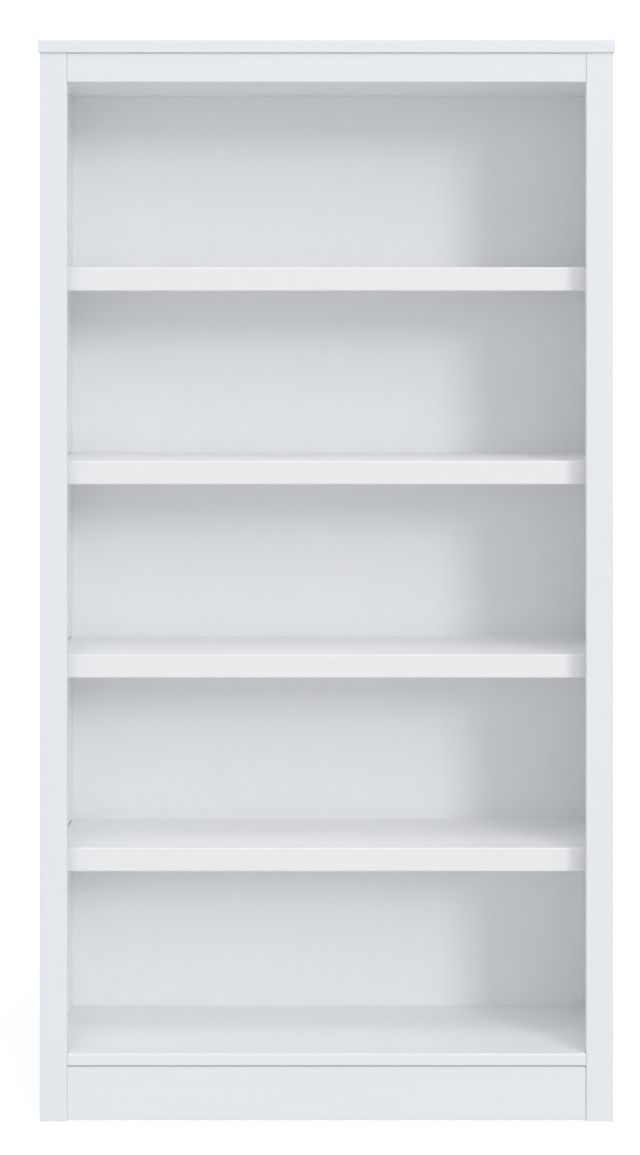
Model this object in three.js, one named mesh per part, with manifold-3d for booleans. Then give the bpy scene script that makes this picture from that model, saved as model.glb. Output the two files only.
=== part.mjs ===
// A tall white bookcase: two side panels behind a face frame of stiles and top rail, an overhanging top,
// a fixed board under it, a fixed bottom panel over a plinth, a back panel let into the sides, and four
// loose shelves, each a board with a deep front lipping, resting on four supports that plug into holes.
//
// Millimetres, +Z up, the front faces -Y. The origin is on the floor, at the middle of the footprint.

import * as THREE from "three";
import { mergeVertices } from "three/addons/utils/BufferGeometryUtils.js";
import Module from "manifold-3d";

const wasm = await Module();
wasm.setup();

// ---- Case ----
const CASE_HEIGHT = 1800; // floor to the upper face of the top
const CASE_WIDTH = 954; // outside of one side panel to the outside of the other
const SIDE_DEPTH = 288; // side panel, from behind its stile to the rear
const SIDE_THICK = 22;
const TOP_THICK = 22;
const TOP_OVERHANG = 3; // beyond the sides and beyond the face frame
const TOP_EASE = 2; // rounding of the top's edges
const SUB_TOP_THICK = 16;
const BOTTOM_THICK = 20;
const BOTTOM_SETBACK = 0.6; // front edge of the bottom panel, behind the face of the stiles
const BOTTOM_END_GAP = 0.5; // between a stile and the end of the bottom panel's front edge
const BOTTOM_EASE = 3;

// ---- Face frame and plinth ----
const STILE_WIDTH = 45;
const FRAME_THICK = 20;
const FRAME_EASE = 1.5;
const RAIL_HEIGHT = 48;
const FRAME_REVEAL = 0.5; // shadow line under the top and at the ends of the rail
const PLINTH_HEIGHT = 88;
const PLINTH_THICK = 18;
const PLINTH_LIFT = 3; // plinth boards clear the floor
const PLINTH_SETBACK = 3; // front plinth, behind the face of the stiles
const PLINTH_REVEAL = 2; // shadow line between the plinth and the bottom panel
const PLINTH_END_GAP = 0.4;

// ---- Back ----
const BACK_THICK = 5;
const BACK_REBATE_DEPTH = 8; // in from the rear edge of a side
const BACK_REBATE_WIDTH = 10; // into the thickness of a side
const BACK_EDGE_GAP = 0.7;

// ---- Shelves ----
const SHELF_COUNT = 4;
const SHELF_THICK = 20;
const SHELF_SETBACK = 42; // lipping's face, behind the face of the stiles
const SHELF_END_GAP = 2; // each end, to the side panel
const SHELF_BACK_GAP = 15; // behind the shelf, to the back panel
const SHELF_RISE = 9; // how far the row of shelves stands above whole steps of the holes
const LIPPING_HEIGHT = 40;
const LIPPING_THICK = 20;
const LIPPING_EASE = 2.5;

// ---- Shelf supports and their holes ----
const HOLE_PITCH = 25;
const HOLES_EACH_WAY = 2; // spare holes above and below the one in use
const SUPPORT_SHANK_RADIUS = 2.5;
const SUPPORT_SHANK_LENGTH = 9;
const SUPPORT_SHANK_CLEARANCE = 0.15;
const SUPPORT_WIDTH = 12;
const SUPPORT_TONGUE_LENGTH = 11;
const SUPPORT_WALL = 2; // tongue, flange and rib
const SUPPORT_TONGUE_RISE = 5; // upper face of the tongue, above the shank's axis
const SUPPORT_FLANGE_DROP = 6; // foot of the flange, below the shank's axis
const SUPPORT_FRONT_INSET = 20; // front support, behind the lipping
const SUPPORT_REAR_INSET = 30; // rear support, in front of the shelf's back edge

// ---- Knock-down fittings and dowels ----
const CAM_RADIUS = 7.5;
const CAM_HEIGHT = 12;
const CAM_BACKSET = 24; // cam's axis, in from the end of its board
const CAM_SLOT_LENGTH = 9;
const CAM_SLOT_WIDTH = 1.6;
const CAM_SLOT_DEPTH = 2;
const CAM_CHANNEL_CLEARANCE = 0.8; // round the bolt's head, inside the cam
const BOLT_RADIUS = 3;
const BOLT_NECK_RADIUS = 1.8;
const BOLT_NECK_LENGTH = 4;
const BOLT_HEAD_LENGTH = 2.5;
const BOLT_SCREW_LENGTH = 11; // the part in the side panel
const BOLT_END_INSET = 50; // bolts, from the front and rear ends of a joint
const DOWEL_RADIUS = 4;
const DOWEL_LENGTH = 30;
const DOWEL_IN_TOP = 13; // the part in the top, the rest is in the side
const DOWEL_CHAMFER = 1;
const DOWEL_END_INSET = 70; // dowels under the top, from the front and rear edges of a side

// ---- Fits ----
const JOINT_GAP = 0.3; // between faces that are glued or drawn together
const FITTING_GAP = 0.3; // round cams, bolts and dowels
const HOLE_RUN_OUT = 1; // blind holes are drilled this much deeper than what they hold
const ROUND_SIDES = 10;
const ARC_STEPS = 3;
const CUT_OVERRUN = 2; // cutters pass this far through the face that they open

// ---- Places that follow from the sizes ----
const depth = TOP_OVERHANG + FRAME_THICK + JOINT_GAP + SIDE_DEPTH;
const faceY = -depth / 2 + TOP_OVERHANG; // face of the stiles
const sideY = faceY + FRAME_THICK + JOINT_GAP; // front edge of the side panels
const rearY = depth / 2;
const backY = rearY - BACK_REBATE_DEPTH + JOINT_GAP; // inner face of the back panel
const outerX = CASE_WIDTH / 2;
const innerX = outerX - SIDE_THICK;
const openingX = outerX - STILE_WIDTH;
const topZ = CASE_HEIGHT - TOP_THICK; // underside of the top
const frameTopZ = topZ - FRAME_REVEAL;
const railZ = frameTopZ - RAIL_HEIGHT; // lower edge of the rail, flush with the board behind it
const plinthTopZ = PLINTH_LIFT + PLINTH_HEIGHT;
const bottomZ = plinthTopZ + PLINTH_REVEAL; // underside of the bottom panel
const floorZ = bottomZ + BOTTOM_THICK; // upper face of the bottom panel

const pitchesPerBay = Math.round((railZ - floorZ) / (SHELF_COUNT + 1) / HOLE_PITCH);
const shelfStep = pitchesPerBay * HOLE_PITCH;
const shelfNumbers = Array.from({ length: SHELF_COUNT }, (_, i) => i + 1); // 1 is the lowest
const shelfTop = (number) => floorZ + SHELF_RISE + number * shelfStep;
const shelfFaceY = faceY + SHELF_SETBACK;
const shelfBoardY = shelfFaceY + LIPPING_THICK + JOINT_GAP;
const shelfRearY = backY - SHELF_BACK_GAP;
const shelfHalfWidth = innerX - SHELF_END_GAP;
const supportZ = (number) => shelfTop(number) - SHELF_THICK - JOINT_GAP - SUPPORT_TONGUE_RISE;
const supportColumns = [
  { place: "front", y: shelfFaceY + LIPPING_THICK + SUPPORT_FRONT_INSET },
  { place: "rear", y: shelfRearY - SUPPORT_REAR_INSET },
];
const boltColumns = [
  { place: "front", y: sideY + BOLT_END_INSET },
  { place: "rear", y: backY - BOLT_END_INSET },
];
const dowelColumns = [
  { place: "front", y: sideY + DOWEL_END_INSET },
  { place: "rear", y: rearY - DOWEL_END_INSET },
];
const subTopBoltZ = railZ + SUB_TOP_THICK - CAM_HEIGHT / 2; // a bolt lies at the middle of its cam
const bottomBoltZ = bottomZ + CAM_HEIGHT / 2;
const railDowelZ = railZ + RAIL_HEIGHT / 2;
const railDowelY = faceY + FRAME_THICK / 2;
const plinthDowelZ = PLINTH_LIFT + PLINTH_HEIGHT / 2;
const plinthDowelY = faceY + PLINTH_SETBACK + PLINTH_THICK / 2;
const sides = [
  { hand: "left", sign: -1 },
  { hand: "right", sign: 1 },
];

// ---- Materials ----
function paint(color, roughness) {
  return () => new THREE.MeshStandardMaterial({ color, roughness, metalness: 0 });
}

function metal(color, roughness) {
  return () => new THREE.MeshStandardMaterial({ color, roughness, metalness: 1 });
}

const casePaint = paint(0xe9ecef, 0.42);
const shelfPaint = paint(0xedeef0, 0.38);
const backPaint = paint(0xe4e7e9, 0.55);
const beech = paint(0xcfa878, 0.7);
const zinc = metal(0xb9bcc0, 0.4);
const nickel = metal(0xc9c8c4, 0.28);

// ---- Solids ----

// A closed three.js geometry as a solid that can be joined and cut.
function solid(geometry) {
  const bare = geometry.clone();
  bare.deleteAttribute("normal");
  bare.deleteAttribute("uv");
  const merged = mergeVertices(bare, 1e-4);
  const vertProperties = new Float32Array(merged.getAttribute("position").array);
  const triVerts = new Uint32Array(merged.getIndex().array);
  return new wasm.Manifold(new wasm.Mesh({ numProp: 3, vertProperties, triVerts }));
}

function geometryOf(manifold) {
  const { vertProperties, triVerts } = manifold.getMesh();
  const geometry = new THREE.BufferGeometry();
  geometry.setAttribute("position", new THREE.BufferAttribute(vertProperties, 3));
  geometry.setIndex(new THREE.BufferAttribute(triVerts, 1));
  geometry.computeVertexNormals();
  return geometry;
}

function cut(geometry, cutters) {
  return geometryOf(cutters.reduce((rest, cutter) => rest.subtract(solid(cutter)), solid(geometry)));
}

function join(geometries) {
  return geometryOf(geometries.map(solid).reduce((whole, next) => whole.add(next)));
}

function block([x0, x1], [y0, y1], [z0, z1]) {
  const size = [x1 - x0, y1 - y0, z1 - z0].map(Math.abs);
  return new THREE.BoxGeometry(...size).translate((x0 + x1) / 2, (y0 + y1) / 2, (z0 + z1) / 2);
}

// A round bar along X, or along Z, between two places on its axis.
function barX(radius, x0, x1, y, z) {
  const bar = new THREE.CylinderGeometry(radius, radius, Math.abs(x1 - x0), ROUND_SIDES);
  return bar.rotateZ(Math.PI / 2).translate((x0 + x1) / 2, y, z);
}

function barZ(radius, z0, z1, x, y) {
  const bar = new THREE.CylinderGeometry(radius, radius, Math.abs(z1 - z0), ROUND_SIDES);
  return bar.rotateX(Math.PI / 2).translate(x, y, (z0 + z1) / 2);
}

// A rectangle from (0, 0) to (width, height) whose corners are rounded by the four radii, which run
// anticlockwise from the corner at (0, 0).
function easedRectangle(width, height, radii) {
  const corners = [
    [0, 0, 1, 1],
    [width, 0, -1, 1],
    [width, height, -1, -1],
    [0, height, 1, -1],
  ];
  const outline = new THREE.Shape();
  corners.forEach(([x, y, inX, inY], i) => {
    const radius = radii[i];
    const start = Math.PI + (i * Math.PI) / 2;
    if (radius > 0) {
      outline.absarc(x + inX * radius, y + inY * radius, radius, start, start + Math.PI / 2);
    } else if (i === 0) {
      outline.moveTo(x, y);
    } else {
      outline.lineTo(x, y);
    }
  });
  return outline;
}

// A board that runs along X, centred on it: its section is drawn with Y across and Z up.
function boardAlongX(length, thickY, heightZ, radii) {
  const outline = easedRectangle(thickY, heightZ, radii);
  const board = new THREE.ExtrudeGeometry(outline, {
    depth: length,
    bevelEnabled: false,
    curveSegments: ARC_STEPS,
  });
  const acrossUpAlong = new THREE.Matrix4().makeBasis(
    new THREE.Vector3(0, 1, 0),
    new THREE.Vector3(0, 0, 1),
    new THREE.Vector3(1, 0, 0),
  );
  return board.applyMatrix4(acrossUpAlong).translate(-length / 2, 0, 0);
}

// ---- Case pieces: each one's geometry is drawn round its own origin, and place() sets it down ----

function place(group, name, geometry, material, x, y, z) {
  const mesh = new THREE.Mesh(geometry, material());
  mesh.name = name;
  mesh.position.set(x, y, z);
  group.add(mesh);
}

// The side panels, rebated for the back and drilled for supports at several heights, bolts and dowels.
function addSides(group) {
  const height = topZ - JOINT_GAP;
  const holeSteps = Array.from({ length: 2 * HOLES_EACH_WAY + 1 }, (_, i) => i - HOLES_EACH_WAY);
  for (const { hand, sign } of sides) {
    const panel = block([0, sign * SIDE_THICK], [0, SIDE_DEPTH], [0, height]);
    const rebate = block(
      [-sign * CUT_OVERRUN, sign * BACK_REBATE_WIDTH],
      [SIDE_DEPTH - BACK_REBATE_DEPTH, SIDE_DEPTH + CUT_OVERRUN],
      [-CUT_OVERRUN, height + CUT_OVERRUN],
    );
    const drill = (radius, reach, y, z) => barX(radius, -sign * CUT_OVERRUN, sign * reach, y - sideY, z);
    const holeRadius = SUPPORT_SHANK_RADIUS + SUPPORT_SHANK_CLEARANCE;
    const holeDepth = SUPPORT_SHANK_LENGTH + HOLE_RUN_OUT;
    const supportHoles = supportColumns.flatMap(({ y }) =>
      shelfNumbers.flatMap((number) =>
        holeSteps.map((step) =>
          drill(holeRadius, holeDepth, y, supportZ(number) + step * HOLE_PITCH),
        ),
      ),
    );
    const boltHoles = boltColumns.flatMap(({ y }) =>
      [bottomBoltZ, subTopBoltZ].map((z) =>
        drill(BOLT_RADIUS + FITTING_GAP, BOLT_SCREW_LENGTH + HOLE_RUN_OUT, y, z),
      ),
    );
    const dowelDepth = DOWEL_LENGTH - DOWEL_IN_TOP + HOLE_RUN_OUT;
    const dowelHoles = dowelColumns.map(({ y }) =>
      barZ(
        DOWEL_RADIUS + FITTING_GAP,
        height - dowelDepth,
        height + CUT_OVERRUN,
        (sign * SIDE_THICK) / 2,
        y - sideY,
      ),
    );
    const drilled = cut(panel, [rebate, ...supportHoles, ...boltHoles, ...dowelHoles]);
    place(group, `side_panel_${hand}`, drilled, casePaint, sign * innerX, sideY, 0);
  }
}

// The overhanging top, its edges rounded all round, drilled from below for the dowels.
function addTop(group) {
  const width = CASE_WIDTH + 2 * TOP_OVERHANG;
  const plan = new THREE.Shape([
    new THREE.Vector2(-width / 2 + TOP_EASE, TOP_EASE),
    new THREE.Vector2(width / 2 - TOP_EASE, TOP_EASE),
    new THREE.Vector2(width / 2 - TOP_EASE, depth - TOP_EASE),
    new THREE.Vector2(-width / 2 + TOP_EASE, depth - TOP_EASE),
  ]);
  const slab = new THREE.ExtrudeGeometry(plan, {
    depth: TOP_THICK - 2 * TOP_EASE,
    bevelThickness: TOP_EASE,
    bevelSize: TOP_EASE,
    bevelSegments: ARC_STEPS,
  }).translate(0, 0, TOP_EASE);
  const holes = sides.flatMap(({ sign }) =>
    dowelColumns.map(({ y }) => {
      const x = sign * (innerX + SIDE_THICK / 2);
      const deepest = DOWEL_IN_TOP + HOLE_RUN_OUT;
      return barZ(DOWEL_RADIUS + FITTING_GAP, -CUT_OVERRUN, deepest, x, y + depth / 2);
    }),
  );
  place(group, "top_panel", cut(slab, holes), casePaint, 0, -depth / 2, topZ);
}

// Cutters for the cam pockets and bolt bores at both ends of a fixed board, in the case's frame.
// The pockets open at openZ and reach to deepZ, so they are hidden above or below the board.
function fittingCutters(endX, boltZ, openZ, deepZ) {
  return sides.flatMap(({ sign }) =>
    boltColumns.flatMap(({ y }) => [
      barZ(CAM_RADIUS + FITTING_GAP, openZ, deepZ, sign * (endX - CAM_BACKSET), y),
      barX(BOLT_RADIUS + FITTING_GAP, sign * (endX - CAM_BACKSET), sign * (endX + CUT_OVERRUN), y, boltZ),
    ]),
  );
}

// The fixed board that closes the top compartment, level with the lower edge of the rail.
function addSubTop(group) {
  const endX = innerX - JOINT_GAP;
  const rearEdge = backY - JOINT_GAP;
  const board = block([-endX, endX], [sideY, rearEdge], [railZ, railZ + SUB_TOP_THICK]);
  const openZ = railZ + SUB_TOP_THICK + CUT_OVERRUN;
  const deepZ = railZ + SUB_TOP_THICK - CAM_HEIGHT - FITTING_GAP;
  const fitted = cut(board, fittingCutters(endX, subTopBoltZ, openZ, deepZ));
  place(group, "sub_top", fitted.translate(0, -sideY, -railZ), casePaint, 0, sideY, railZ);
}

// The fixed bottom panel: its rounded front edge comes forward between the stiles.
function addBottomPanel(group) {
  const endX = innerX - JOINT_GAP;
  const frontY = faceY + BOTTOM_SETBACK;
  const reach = backY - JOINT_GAP - frontY;
  const ease = [BOTTOM_EASE / 2, 0, 0, BOTTOM_EASE];
  const board = boardAlongX(2 * endX, reach, BOTTOM_THICK, ease).translate(0, frontY, bottomZ);
  const notches = sides.map(({ sign }) =>
    block(
      [sign * (openingX - BOTTOM_END_GAP), sign * (outerX + CUT_OVERRUN)],
      [faceY - CUT_OVERRUN, sideY],
      [bottomZ - CUT_OVERRUN, floorZ + CUT_OVERRUN],
    ),
  );
  const deepZ = bottomZ + CAM_HEIGHT + FITTING_GAP;
  const pockets = fittingCutters(endX, bottomBoltZ, bottomZ - CUT_OVERRUN, deepZ);
  const fitted = cut(board, [...notches, ...pockets]);
  place(group, "bottom_panel", fitted.translate(0, -frontY, -bottomZ), casePaint, 0, frontY, bottomZ);
}

// The back panel stands in the rebates of the sides and covers the rear edges of the fixed boards.
function addBack(group) {
  const halfWidth = innerX + BACK_REBATE_WIDTH - BACK_EDGE_GAP;
  const height = topZ - JOINT_GAP - bottomZ;
  const panel = block([-halfWidth, halfWidth], [0, BACK_THICK], [0, height]);
  place(group, "back_panel", panel, backPaint, 0, backY, bottomZ);
}

// A dowel hole in the end of a board or the edge of a stile, in that piece's own frame.
function endHole(x, sign, y, z) {
  const deepest = x - sign * (DOWEL_LENGTH / 2 + HOLE_RUN_OUT);
  return barX(DOWEL_RADIUS + FITTING_GAP, x + sign * CUT_OVERRUN, deepest, y, z);
}

// Stiles stand on the floor in front of the side panels, flush with the outside of the case.
function addStiles(group) {
  for (const { hand, sign } of sides) {
    const outline = easedRectangle(STILE_WIDTH, FRAME_THICK, [FRAME_EASE, FRAME_EASE, 0, 0]);
    const stile = new THREE.ExtrudeGeometry(outline, {
      depth: frameTopZ,
      bevelEnabled: false,
      curveSegments: ARC_STEPS,
    }).translate(-STILE_WIDTH / 2, 0, 0);
    const innerEdge = (-sign * STILE_WIDTH) / 2;
    const holes = [
      endHole(innerEdge, -sign, railDowelY - faceY, railDowelZ),
      endHole(innerEdge, -sign, plinthDowelY - faceY, plinthDowelZ),
    ];
    const middleX = sign * (openingX + STILE_WIDTH / 2);
    place(group, `stile_${hand}`, cut(stile, holes), casePaint, middleX, faceY, 0);
  }
}

function addTopRail(group) {
  const length = 2 * (openingX - FRAME_REVEAL);
  const rail = boardAlongX(length, FRAME_THICK, RAIL_HEIGHT, [FRAME_EASE, 0, 0, FRAME_EASE]);
  const holes = sides.map(({ sign }) =>
    endHole((sign * length) / 2, sign, railDowelY - faceY, railDowelZ - railZ),
  );
  place(group, "top_rail", cut(rail, holes), casePaint, 0, faceY, railZ);
}

function addPlinth(group) {
  const length = 2 * (openingX - PLINTH_END_GAP);
  const board = boardAlongX(length, PLINTH_THICK, PLINTH_HEIGHT, [FRAME_EASE, 0, 0, FRAME_EASE]);
  const holes = sides.map(({ sign }) =>
    endHole((sign * length) / 2, sign, PLINTH_THICK / 2, PLINTH_HEIGHT / 2),
  );
  place(group, "plinth", cut(board, holes), casePaint, 0, faceY + PLINTH_SETBACK, PLINTH_LIFT);
}

// The rear plinth carries the bottom panel between the sides, in line with the back panel's inner face.
function addRearPlinth(group) {
  const length = 2 * (innerX - JOINT_GAP);
  const height = bottomZ - JOINT_GAP - PLINTH_LIFT;
  const board = boardAlongX(length, PLINTH_THICK, height, [FRAME_EASE, FRAME_EASE, 0, 0]);
  place(group, "rear_plinth", board, casePaint, 0, backY - PLINTH_THICK, PLINTH_LIFT);
}

// ---- Fittings ----

// A turned piece: its profile gives the radius at each place along the axis, from end to end.
function turned(profile) {
  const points = profile.map(([radius, along]) => new THREE.Vector2(radius, along));
  return new THREE.LatheGeometry(points, ROUND_SIDES);
}

function dowel() {
  const half = DOWEL_LENGTH / 2;
  return turned([
    [0, -half],
    [DOWEL_RADIUS - DOWEL_CHAMFER, -half],
    [DOWEL_RADIUS, -half + DOWEL_CHAMFER],
    [DOWEL_RADIUS, half - DOWEL_CHAMFER],
    [DOWEL_RADIUS - DOWEL_CHAMFER, half],
    [0, half],
  ]);
}

function addDowels(group) {
  const upright = () => dowel().rotateX(Math.PI / 2);
  const level = () => dowel().rotateZ(Math.PI / 2);
  const topDowelZ = topZ + DOWEL_IN_TOP - DOWEL_LENGTH / 2;
  for (const { hand, sign } of sides) {
    for (const { place: end, y } of dowelColumns) {
      const x = sign * (innerX + SIDE_THICK / 2);
      place(group, `top_dowel_${hand}_${end}`, upright(), beech, x, y, topDowelZ);
    }
    const jointX = sign * (openingX - FRAME_REVEAL / 2);
    place(group, `rail_dowel_${hand}`, level(), beech, jointX, railDowelY, railDowelZ);
    place(group, `plinth_dowel_${hand}`, level(), beech, jointX, plinthDowelY, plinthDowelZ);
  }
}

// A bolt that is screwed into a side panel; its head stands in the cam, which turns to draw the board up.
// Its origin is at the side panel's inner face, and it points along the way given by inward.
function camBolt(inward) {
  const reach = CAM_BACKSET + JOINT_GAP + BOLT_HEAD_LENGTH / 2;
  const neckStart = reach - BOLT_HEAD_LENGTH - BOLT_NECK_LENGTH;
  const bolt = turned([
    [0, -BOLT_SCREW_LENGTH],
    [BOLT_NECK_RADIUS, -BOLT_SCREW_LENGTH],
    [BOLT_RADIUS, BOLT_NECK_RADIUS - BOLT_SCREW_LENGTH],
    [BOLT_RADIUS, neckStart],
    [BOLT_NECK_RADIUS, neckStart],
    [BOLT_NECK_RADIUS, reach - BOLT_HEAD_LENGTH],
    [BOLT_RADIUS, reach - BOLT_HEAD_LENGTH],
    [BOLT_RADIUS, reach],
    [0, reach],
  ]);
  return bolt.rotateZ((-inward * Math.PI) / 2);
}

// A cam lock with a cross slot in its outer face, at +Z or -Z, and a channel for the bolt's head.
function camLock(outward, boltFrom) {
  const half = CAM_HEIGHT / 2;
  const faceZ = outward * half;
  const slotZ = [faceZ - outward * CAM_SLOT_DEPTH, faceZ + outward * CUT_OVERRUN];
  const slotHalf = CAM_SLOT_LENGTH / 2;
  const slotSide = CAM_SLOT_WIDTH / 2;
  const channelEnd = -boltFrom * (BOLT_HEAD_LENGTH / 2 + CAM_CHANNEL_CLEARANCE);
  return cut(barZ(CAM_RADIUS, -half, half, 0, 0), [
    block([-slotHalf, slotHalf], [-slotSide, slotSide], slotZ),
    block([-slotSide, slotSide], [-slotHalf, slotHalf], slotZ),
    barX(BOLT_RADIUS + CAM_CHANNEL_CLEARANCE, channelEnd, boltFrom * (CAM_RADIUS + CUT_OVERRUN), 0, 0),
  ]);
}

function addCamFittings(group) {
  const boards = [
    { board: "sub_top", boltZ: subTopBoltZ, outward: 1 },
    { board: "bottom", boltZ: bottomBoltZ, outward: -1 },
  ];
  for (const { board, boltZ, outward } of boards) {
    for (const { hand, sign } of sides) {
      for (const { place: end, y } of boltColumns) {
        const camX = sign * (innerX - JOINT_GAP - CAM_BACKSET);
        const name = `${board}_${hand}_${end}`;
        place(group, `cam_bolt_${name}`, camBolt(-sign), zinc, sign * innerX, y, boltZ);
        place(group, `cam_lock_${name}`, camLock(outward, sign), zinc, camX, y, boltZ);
      }
    }
  }
}

// ---- Shelves and their supports ----

function addShelf(group, number) {
  const width = 2 * shelfHalfWidth;
  const shelf = new THREE.Group();
  shelf.position.set(0, 0, shelfTop(number));
  const board = block([-width / 2, width / 2], [0, shelfRearY - shelfBoardY], [0, SHELF_THICK]);
  const ease = [LIPPING_EASE, 0, 0, LIPPING_EASE];
  const lipping = boardAlongX(width, LIPPING_THICK, LIPPING_HEIGHT, ease);
  place(shelf, `shelf_${number}_board`, board, shelfPaint, 0, shelfBoardY, -SHELF_THICK);
  place(shelf, `shelf_${number}_lipping`, lipping, shelfPaint, 0, shelfFaceY, -LIPPING_HEIGHT);
  group.add(shelf);
}

// A spoon support: a shank in the side panel, a flange against it, and a ribbed tongue under the shelf.
// Its origin is where the shank's axis meets the side panel, and the tongue points along inward.
function spoonSupport(inward) {
  const at = (value) => inward * value;
  const flangeFace = JOINT_GAP + SUPPORT_WALL;
  const halfWidth = SUPPORT_WIDTH / 2;
  const underTongue = SUPPORT_TONGUE_RISE - SUPPORT_WALL;
  const rib = new THREE.Shape([
    new THREE.Vector2(at(JOINT_GAP), -SUPPORT_FLANGE_DROP + SUPPORT_WALL),
    new THREE.Vector2(at(flangeFace), -SUPPORT_FLANGE_DROP + SUPPORT_WALL),
    new THREE.Vector2(at(SUPPORT_TONGUE_LENGTH - SUPPORT_WALL), underTongue),
    new THREE.Vector2(at(SUPPORT_TONGUE_LENGTH - SUPPORT_WALL), underTongue + SUPPORT_WALL / 2),
    new THREE.Vector2(at(JOINT_GAP), underTongue + SUPPORT_WALL / 2),
  ]);
  const ribSolid = new THREE.ExtrudeGeometry(rib, { depth: SUPPORT_WALL, bevelEnabled: false });
  ribSolid.rotateX(Math.PI / 2).translate(0, SUPPORT_WALL / 2, 0);
  return join([
    barX(SUPPORT_SHANK_RADIUS, at(-SUPPORT_SHANK_LENGTH), at(flangeFace), 0, 0),
    block(
      [at(JOINT_GAP), at(flangeFace)],
      [-halfWidth, halfWidth],
      [-SUPPORT_FLANGE_DROP, SUPPORT_TONGUE_RISE],
    ),
    block(
      [at(JOINT_GAP), at(SUPPORT_TONGUE_LENGTH)],
      [-halfWidth, halfWidth],
      [underTongue, SUPPORT_TONGUE_RISE],
    ),
    ribSolid,
  ]);
}

function addSupports(group, number) {
  for (const { hand, sign } of sides) {
    for (const { place: end, y } of supportColumns) {
      const name = `support_${number}_${hand}_${end}`;
      place(group, name, spoonSupport(-sign), nickel, sign * innerX, y, supportZ(number));
    }
  }
}

// ---- Assembly ----
const carcass = new THREE.Group();
addSides(carcass);
addTop(carcass);
addSubTop(carcass);
addBottomPanel(carcass);
addBack(carcass);
addRearPlinth(carcass);

const faceFrame = new THREE.Group();
addStiles(faceFrame);
addTopRail(faceFrame);
addPlinth(faceFrame);

const fittings = new THREE.Group();
addDowels(fittings);
addCamFittings(fittings);

const bookcase = new THREE.Group();
bookcase.add(carcass, faceFrame, fittings);
for (const number of shelfNumbers) {
  const bay = new THREE.Group();
  addShelf(bay, number);
  addSupports(bay, number);
  bookcase.add(bay);
}

export default bookcase;
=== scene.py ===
"""A tall white face-frame bookcase with four adjustable shelves, in a plain white studio.

Metres, +Z up, the open front faces -Y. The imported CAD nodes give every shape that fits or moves; this
script finishes their edges and surfaces, and adds what is too small for the CAD model.
"""

import math

import bmesh
import bpy
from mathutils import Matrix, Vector


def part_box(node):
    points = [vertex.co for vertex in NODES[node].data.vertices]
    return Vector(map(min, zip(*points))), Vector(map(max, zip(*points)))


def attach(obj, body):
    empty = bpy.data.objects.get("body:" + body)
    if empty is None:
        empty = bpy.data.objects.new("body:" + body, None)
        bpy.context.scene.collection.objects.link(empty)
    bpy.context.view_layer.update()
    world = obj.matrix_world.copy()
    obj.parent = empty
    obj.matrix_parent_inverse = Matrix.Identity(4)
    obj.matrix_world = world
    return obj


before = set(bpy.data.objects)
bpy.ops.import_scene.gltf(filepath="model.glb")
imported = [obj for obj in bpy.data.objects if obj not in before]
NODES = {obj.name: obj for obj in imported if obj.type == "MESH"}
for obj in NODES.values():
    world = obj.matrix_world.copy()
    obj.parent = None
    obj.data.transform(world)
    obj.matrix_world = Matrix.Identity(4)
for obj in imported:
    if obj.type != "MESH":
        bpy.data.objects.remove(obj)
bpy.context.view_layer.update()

SHELVES = (1, 2, 3, 4)
HANDS = ("left", "right")
ENDS = ("front", "rear")

# ---- Camera: a long lens level with the top shelf, a little right of the middle ----
CAMERA_OFFSET = 0.039
CAMERA_HEIGHT = 1.362
CAMERA_DISTANCE = 4.36  # from the face of the stiles
CAMERA_LENS = 81.7
CAMERA_SHIFT = (-0.026, -0.2377)
CAMERA_REACH = 100.0

# ---- Studio ----
STUDIO_RADIUS = 14.0
STUDIO_HEIGHT = 6.0
STUDIO_SIDES = 64
SKY_STRENGTH = 0.577
WALL_GLOW = 0.8
FLOOR_GLOW = (0.36, 0.45)  # near the bookcase, and further out
FLOOR_FADE = (0.7, 3.0)  # metres over which the one turns into the other
LAMP_DISTANCE = 25.0
LAMP_TARGET = (0.0, 0.0, 0.9)
SOFTBOXES = (  # name, the way to it from the bookcase, width and height in metres, watts
    ("key", (0.647, -1.0, 0.35), (5.5, 4.5), 1060.0),
    ("key_upper", (0.647, -1.0, 0.60), (5.5, 4.0), 385.0),
    ("front", (0.0, -1.0, 0.20), (14.0, 8.0), 175.0),
    ("front_high", (0.0, -1.0, 1.0), (14.0, 8.0), 510.0),
    ("overhead", (0.0, -0.4, 1.0), (14.0, 8.0), 1250.0),
)
FLOOR_COLOUR = (0.88, 0.885, 0.89, 1.0)
STUDIO_ROUGHNESS = (0.75, 0.85)
MAX_BOUNCES = 10
DIFFUSE_BOUNCES = 8

# ---- Edges ----
BOARD_BEVEL = 0.0006
SHELF_BEVEL = 0.0003
METAL_BEVEL = 0.0002
BOARD_SEGMENTS = 3
METAL_SEGMENTS = 2
SHARP_ANGLE = math.radians(40)

# ---- Nails through the back panel ----
NAIL_SPACING = 0.14
NAIL_INSET = 0.03  # first nail of a row, from the row's end
NAIL_SINK = 0.0001  # how far a head is driven into the panel
NAIL_SIDES = 24
NAIL_CROWN = 0.00115  # height of a head's middle
NAIL_HEAD = ((0.0012, 0.0011), (0.0023, 0.0009), (0.0031, 0.0005), (0.0034, 0.0), (0.0031, -0.0003))


# ---------------------------------------------------------------- materials

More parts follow.
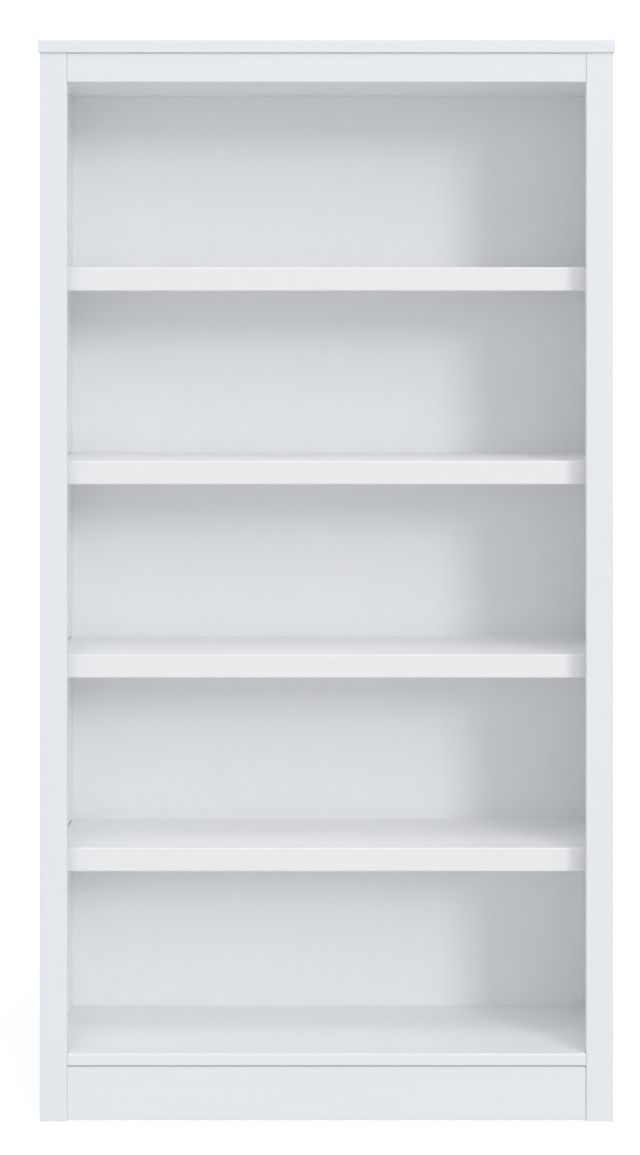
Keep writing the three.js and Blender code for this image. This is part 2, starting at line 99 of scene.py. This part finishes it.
class Graph:
    """A material's node tree, built from its Principled shader backwards."""

    def __init__(self, name):
        self.material = bpy.data.materials.new(name)
        self.material.use_nodes = True
        self.tree = self.material.node_tree
        self.shader = self.tree.nodes["Principled BSDF"]

    def node(self, kind, values=(), **settings):
        made = self.tree.nodes.new(kind)
        for key, value in settings.items():
            setattr(made, key, value)
        for socket, value in dict(values).items():
            self.feed(made.inputs[socket], value)
        return made

    def feed(self, socket, value):
        if isinstance(value, bpy.types.NodeSocket):
            self.tree.links.new(value, socket)
        else:
            socket.default_value = value

    def noise(self, vector, scale, detail=2.0, roughness=0.5):
        made = self.node(
            "ShaderNodeTexNoise",
            {"Vector": vector, "Scale": scale, "Detail": detail, "Roughness": roughness},
        )
        return made.outputs["Fac"]

    def stretch(self, vector, scale):
        return self.node("ShaderNodeMapping", {"Vector": vector, "Scale": scale}).outputs["Vector"]

    def spread(self, value, low, high, source=(0.3, 0.7)):
        made = self.node(
            "ShaderNodeMapRange",
            {"Value": value, "From Min": source[0], "From Max": source[1], "To Min": low, "To Max": high},
        )
        return made.outputs["Result"]

    def blend(self, factor, first, second):
        made = self.node("ShaderNodeMix", data_type="RGBA")
        self.feed(made.inputs["Factor"], factor)
        self.feed(made.inputs[6], first)
        self.feed(made.inputs[7], second)
        return made.outputs[2]

    def math(self, operation, first, second):
        made = self.node("ShaderNodeMath", operation=operation)
        self.feed(made.inputs[0], first)
        self.feed(made.inputs[1], second)
        return made.outputs[0]

    def bump(self, height, distance):
        values = {"Height": height, "Distance": distance, "Strength": 1.0}
        return self.node("ShaderNodeBump", values).outputs["Normal"]


def grain_scale(axis, along, across):
    """Mapping scale for a figure drawn out along one axis."""
    return tuple(along if name == axis else across for name in "xyz")


def paint(name, colour, shade, axis, roughness, peel=0.00012, grain=0.00016, coat=0.15):
    """Satin paint rolled over board: orange peel, the grain showing through, and a slow drift of tone."""
    g = Graph(name)
    place = g.node("ShaderNodeTexCoord").outputs["Object"]
    fibres = g.noise(g.stretch(place, grain_scale(axis, 6.0, 190.0)), 1.0, 3.0, 0.6)
    drift = g.noise(place, 2.3, 2.0, 0.6)
    orange = g.noise(place, 380.0, 1.0, 0.4)
    tone = g.math("ADD", g.spread(drift, 0.0, 0.6), g.spread(fibres, 0.0, 0.4))
    g.feed(g.shader.inputs["Base Color"], g.blend(tone, colour, shade))
    rough = g.math("ADD", g.spread(drift, roughness - 0.04, roughness + 0.03), g.spread(fibres, -0.03, 0.03))
    g.feed(g.shader.inputs["Roughness"], rough)
    relief = g.math("ADD", g.spread(fibres, 0.0, grain), g.spread(orange, 0.0, peel))
    g.feed(g.shader.inputs["Normal"], g.bump(relief, 1.0))
    g.shader.inputs["Coat Weight"].default_value = coat
    g.shader.inputs["Coat Roughness"].default_value = 0.3
    return g.material


def worn_edge(name, colour, worn, roughness):
    """The same paint on an arris, rubbed thin in places so that a greyer undercoat shows."""
    g = Graph(name)
    place = g.node("ShaderNodeTexCoord").outputs["Object"]
    rubbed = g.noise(place, 26.0, 3.0, 0.65)
    wear = g.spread(rubbed, 0.0, 1.0, (0.44, 0.62))
    g.feed(g.shader.inputs["Base Color"], g.blend(wear, colour, worn))
    g.feed(g.shader.inputs["Roughness"], g.spread(wear, roughness, roughness + 0.2, (0.0, 1.0)))
    g.feed(g.shader.inputs["Normal"], g.bump(rubbed, 0.0001))
    return g.material


def plated(name, colour, shade, roughness):
    """Plated metal with fine rolling marks and faint clouding."""
    g = Graph(name)
    place = g.node("ShaderNodeTexCoord").outputs["Object"]
    marks = g.noise(g.stretch(place, (300.0, 3000.0, 1500.0)), 1.0, 3.0)
    cloud = g.noise(place, 160.0, 3.0)
    g.feed(g.shader.inputs["Base Color"], g.blend(cloud, colour, shade))
    g.shader.inputs["Metallic"].default_value = 1.0
    g.feed(g.shader.inputs["Roughness"], g.spread(marks, roughness - 0.06, roughness + 0.1))
    g.feed(g.shader.inputs["Normal"], g.bump(marks, 0.00001))
    return g.material


def beech():
    """Raw beech with darker flecks along the grain."""
    g = Graph("beech")
    place = g.node("ShaderNodeTexCoord").outputs["Object"]
    grain = g.noise(g.stretch(place, (120.0, 900.0, 120.0)), 1.0, 4.0)
    g.feed(g.shader.inputs["Base Color"], g.blend(grain, (0.66, 0.44, 0.24, 1.0), (0.48, 0.28, 0.13, 1.0)))
    g.feed(g.shader.inputs["Roughness"], g.spread(grain, 0.6, 0.8))
    g.feed(g.shader.inputs["Normal"], g.bump(grain, 0.00005))
    return g.material


FRAME_WHITE = (0.856, 0.891, 0.926, 1.0)
FRAME_SHADE = (0.838, 0.875, 0.911, 1.0)
CASE_WHITE = (0.874, 0.899, 0.914, 1.0)
CASE_SHADE = (0.857, 0.883, 0.899, 1.0)
CASE_WORN = (0.745, 0.760, 0.770, 1.0)
SHELF_WHITE = (0.898, 0.902, 0.917, 1.0)
SHELF_SHADE = (0.882, 0.887, 0.903, 1.0)
SHELF_WORN = (0.780, 0.780, 0.785, 1.0)
BACK_WHITE = (0.890, 0.905, 0.913, 1.0)
BACK_SHADE = (0.872, 0.889, 0.898, 1.0)
BACK_WORN = (0.700, 0.670, 0.630, 1.0)

FRAME_UPRIGHT = paint("frame_paint_upright", FRAME_WHITE, FRAME_SHADE, "z", 0.42)
FRAME_LEVEL = paint("frame_paint_level", FRAME_WHITE, FRAME_SHADE, "x", 0.42)
FRAME_EDGE = worn_edge("frame_paint_edge", FRAME_WHITE, CASE_WORN, 0.42)
CASE_UPRIGHT = paint("case_paint_upright", CASE_WHITE, CASE_SHADE, "z", 0.44)
CASE_LEVEL = paint("case_paint_level", CASE_WHITE, CASE_SHADE, "x", 0.44)
CASE_EDGE = worn_edge("case_paint_edge", CASE_WHITE, CASE_WORN, 0.44)
SHELF_PAINT = paint("shelf_paint", SHELF_WHITE, SHELF_SHADE, "x", 0.4)
SHELF_EDGE = worn_edge("shelf_paint_edge", SHELF_WHITE, SHELF_WORN, 0.4)
BACK_PAINT = paint("back_paint", BACK_WHITE, BACK_SHADE, "z", 0.55, peel=0.00008, coat=0.0)
BACK_EDGE = worn_edge("back_paint_edge", BACK_WHITE, BACK_WORN, 0.6)
BEECH = beech()
ZINC = plated("zinc_plate", (0.50, 0.51, 0.53, 1.0), (0.40, 0.41, 0.43, 1.0), 0.42)
NICKEL = plated("nickel_plate", (0.62, 0.60, 0.57, 1.0), (0.52, 0.51, 0.49, 1.0), 0.28)


def finish_node(name, material, bevel, segments=BOARD_SEGMENTS, edge=None):
    """Gives a CAD node its material and softens its sharp edges, which may have a material of their own."""
    node = NODES[name]
    node.data.materials.clear()
    node.data.materials.append(material)
    rounding = node.modifiers.new("rounding", "BEVEL")
    rounding.width = bevel
    rounding.segments = segments
    rounding.limit_method = "ANGLE"
    rounding.angle_limit = SHARP_ANGLE
    rounding.harden_normals = True
    if edge is not None:
        node.data.materials.append(edge)
        rounding.material = 1
    for face in node.data.polygons:
        face.use_smooth = True


def finish_case():
    for hand in HANDS:
        finish_node(f"stile_{hand}", FRAME_UPRIGHT, BOARD_BEVEL, edge=FRAME_EDGE)
        finish_node(f"side_panel_{hand}", CASE_UPRIGHT, BOARD_BEVEL, edge=CASE_EDGE)
    for name in ("top_panel", "top_rail", "plinth"):
        finish_node(name, FRAME_LEVEL, BOARD_BEVEL, edge=FRAME_EDGE)
    for name in ("sub_top", "bottom_panel", "rear_plinth"):
        finish_node(name, CASE_LEVEL, BOARD_BEVEL, edge=CASE_EDGE)
    finish_node("back_panel", BACK_PAINT, BOARD_BEVEL, edge=BACK_EDGE)


def finish_shelves():
    for number in SHELVES:
        finish_node(f"shelf_{number}_board", SHELF_PAINT, SHELF_BEVEL, edge=SHELF_EDGE)
        finish_node(f"shelf_{number}_lipping", SHELF_PAINT, SHELF_BEVEL, edge=SHELF_EDGE)
        for hand in HANDS:
            for end in ENDS:
                finish_node(f"support_{number}_{hand}_{end}", NICKEL, METAL_BEVEL, METAL_SEGMENTS)


def finish_fittings():
    for hand in HANDS:
        for end in ENDS:
            finish_node(f"top_dowel_{hand}_{end}", BEECH, METAL_BEVEL, METAL_SEGMENTS)
            for board in ("sub_top", "bottom"):
                finish_node(f"cam_bolt_{board}_{hand}_{end}", ZINC, METAL_BEVEL, METAL_SEGMENTS)
                finish_node(f"cam_lock_{board}_{hand}_{end}", ZINC, METAL_BEVEL, METAL_SEGMENTS)
        finish_node(f"rail_dowel_{hand}", BEECH, METAL_BEVEL, METAL_SEGMENTS)
        finish_node(f"plinth_dowel_{hand}", BEECH, METAL_BEVEL, METAL_SEGMENTS)


def nail_places():
    """Where nails hold the back panel: down the middle of each rebate, and into both fixed boards."""
    low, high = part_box("back_panel")
    rows = []
    for hand, edge in (("left", low.x), ("right", high.x)):
        side_low, side_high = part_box(f"side_panel_{hand}")
        inner = side_high.x if hand == "left" else side_low.x
        rows.append(((edge + inner) / 2, low.z, (edge + inner) / 2, high.z))
    for board in ("sub_top", "bottom_panel"):
        board_low, board_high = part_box(board)
        level = (board_low.z + board_high.z) / 2
        rows.append((low.x, level, high.x, level))
    for x0, z0, x1, z1 in rows:
        run = math.hypot(x1 - x0, z1 - z0)
        count = round((run - 2 * NAIL_INSET) / NAIL_SPACING)
        for i in range(count + 1):
            along = (NAIL_INSET + (run - 2 * NAIL_INSET) * i / count) / run
            yield x0 + (x1 - x0) * along, high.y, z0 + (z1 - z0) * along


def add_nails():
    """Domed nail heads on the rear face of the back panel."""
    heads = bmesh.new()
    for x, y, z in nail_places():
        rings = []
        for radius, proud in NAIL_HEAD:
            spin = [2 * math.pi * i / NAIL_SIDES for i in range(NAIL_SIDES)]
            rings.append([
                heads.verts.new((x + radius * math.cos(a), y + proud - NAIL_SINK, z + radius * math.sin(a)))
                for a in spin
            ])
        crown = heads.verts.new((x, y + NAIL_CROWN - NAIL_SINK, z))
        for i in range(NAIL_SIDES):
            after = (i + 1) % NAIL_SIDES
            heads.faces.new((crown, rings[0][after], rings[0][i]))
            for outer, inner in zip(rings[1:], rings):
                heads.faces.new((inner[i], inner[after], outer[after], outer[i]))
        heads.faces.new(rings[-1])
    bmesh.ops.recalc_face_normals(heads, faces=heads.faces)
    mesh = bpy.data.meshes.new("back_nails")
    heads.to_mesh(mesh)
    heads.free()
    mesh.materials.append(ZINC)
    for face in mesh.polygons:
        face.use_smooth = len(face.vertices) < NAIL_SIDES
    nails = bpy.data.objects.new("back_nails", mesh)
    bpy.context.scene.collection.objects.link(nails)
    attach(nails, "case")


finish_case()
finish_shelves()
finish_fittings()
add_nails()


# ---------------------------------------------------------------- studio

def glowing(name, colour, near, far):
    """Plain white studio surface that gives off a little light of its own, more of it further out."""
    g = Graph(name)
    place = g.node("ShaderNodeTexCoord").outputs["Object"]
    cloud = g.noise(place, 0.8, 2.0)
    g.feed(g.shader.inputs["Base Color"], colour)
    g.feed(g.shader.inputs["Roughness"], g.spread(cloud, *STUDIO_ROUGHNESS))
    g.shader.inputs["Emission Color"].default_value = (1.0, 1.0, 1.0, 1.0)
    away = g.node("ShaderNodeVectorMath", operation="LENGTH")
    g.feed(away.inputs[0], place)
    g.feed(g.shader.inputs["Emission Strength"], g.spread(away.outputs["Value"], near, far, FLOOR_FADE))
    return g.material


def studio():
    """A round white floor with a low white wall far behind every camera."""
    ring = [2 * math.pi * i / STUDIO_SIDES for i in range(STUDIO_SIDES)]
    foot = [(STUDIO_RADIUS * math.cos(a), STUDIO_RADIUS * math.sin(a), 0.0) for a in ring]
    head = [(x, y, STUDIO_HEIGHT) for x, y, _ in foot]

    floor = bpy.data.meshes.new("studio_floor")
    floor.from_pydata(foot, [], [list(range(STUDIO_SIDES))])
    wall = bpy.data.meshes.new("studio_backdrop")
    quads = [(i, i + STUDIO_SIDES, (i + 1) % STUDIO_SIDES + STUDIO_SIDES, (i + 1) % STUDIO_SIDES)
             for i in range(STUDIO_SIDES)]
    wall.from_pydata(foot + head, [], quads)
    for mesh, glow in ((floor, FLOOR_GLOW), (wall, (WALL_GLOW, WALL_GLOW))):
        mesh.materials.append(glowing(mesh.name, FLOOR_COLOUR, *glow))
        surface = bpy.data.objects.new(mesh.name, mesh)
        bpy.context.scene.collection.objects.link(surface)
        surface.visible_diffuse = False
        if mesh is wall:
            surface.visible_glossy = surface.visible_shadow = False


def sky():
    world = bpy.data.worlds.new("studio_sky")
    world.use_nodes = True
    background = world.node_tree.nodes["Background"]
    background.inputs["Color"].default_value = (1.0, 1.0, 1.0, 1.0)
    background.inputs["Strength"].default_value = SKY_STRENGTH
    bpy.context.scene.world = world


def softbox(name, towards, distance, size, power, target):
    """A rectangular area light that faces the target, which sees it along the given direction."""
    light = bpy.data.lights.new(name, "AREA")
    light.shape = "RECTANGLE"
    light.size, light.size_y = size
    light.energy = power
    lamp = bpy.data.objects.new(name, light)
    way = Vector(towards).normalized()
    lamp.location = target + way * distance
    lamp.rotation_euler = way.to_track_quat("Z", "Y").to_euler()
    bpy.context.scene.collection.objects.link(lamp)


def lights():
    target = Vector(LAMP_TARGET)
    for name, towards, size, power in SOFTBOXES:
        softbox(name, towards, LAMP_DISTANCE, size, power, target)


def camera():
    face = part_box("stile_left")[0].y
    data = bpy.data.cameras.new("camera")
    data.lens = CAMERA_LENS
    data.shift_x, data.shift_y = CAMERA_SHIFT
    data.clip_end = CAMERA_REACH
    eye = bpy.data.objects.new("camera", data)
    eye.location = (CAMERA_OFFSET, face - CAMERA_DISTANCE, CAMERA_HEIGHT)
    eye.rotation_euler = (math.pi / 2, 0.0, 0.0)
    bpy.context.scene.collection.objects.link(eye)
    bpy.context.scene.camera = eye


studio()
sky()
lights()
camera()
bpy.context.scene.view_settings.view_transform = "Standard"
bpy.context.scene.cycles.max_bounces = MAX_BOUNCES
bpy.context.scene.cycles.diffuse_bounces = DIFFUSE_BOUNCES
